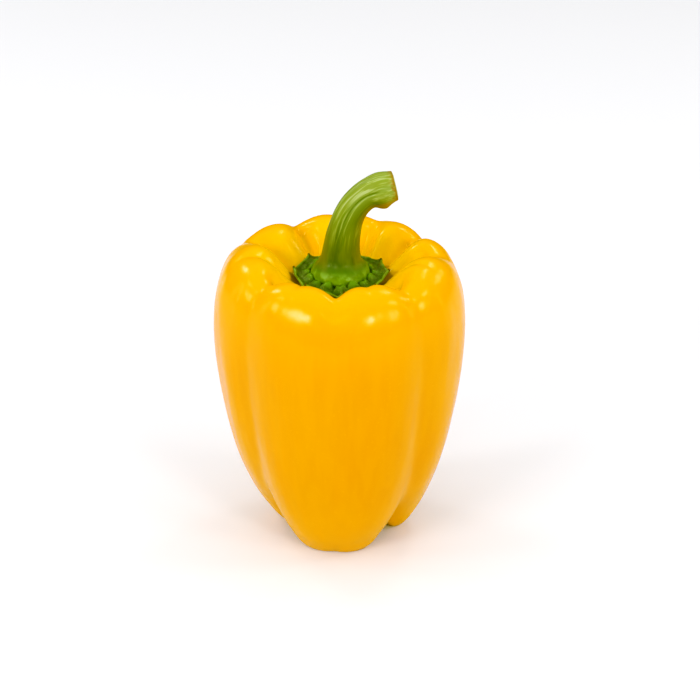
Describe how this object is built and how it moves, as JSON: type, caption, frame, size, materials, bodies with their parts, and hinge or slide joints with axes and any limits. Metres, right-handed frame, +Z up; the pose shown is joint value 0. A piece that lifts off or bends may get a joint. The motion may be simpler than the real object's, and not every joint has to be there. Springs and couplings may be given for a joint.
{
  "type": "bell pepper",
  "caption": "Upright blocky bell pepper with rounded lobes, a creased shoulder, a pointed calyx with a ring of knobs and a curved, ribbed, cut stem; food prop or still-life piece.",
  "frame": {"origin": "on the surface the pepper stands on, under the middle of its bounding box, close below the foot of the stem", "axes": "+Z up through the stem's foot, -Y the front, whose wide lobe faces the viewer, +X to the right, the way the stem bends"},
  "size_m": [0.0854, 0.0854, 0.1323],
  "materials": {
    "skin": "waxy glossy fruit skin, golden yellow, deeper orange in the creases and towards the base",
    "calyx": "smooth dark green leaf tissue, paler along the rim and on the knobs, dark dry tips",
    "stem": "satin yellow-green stalk with fine lengthwise ribs, brown dry edge round the cut end"
  },
  "bodies": {
    "root": {"fruit": "skin", "calyx": "calyx", "stem": "stem"}
  },
  "joints": []
}
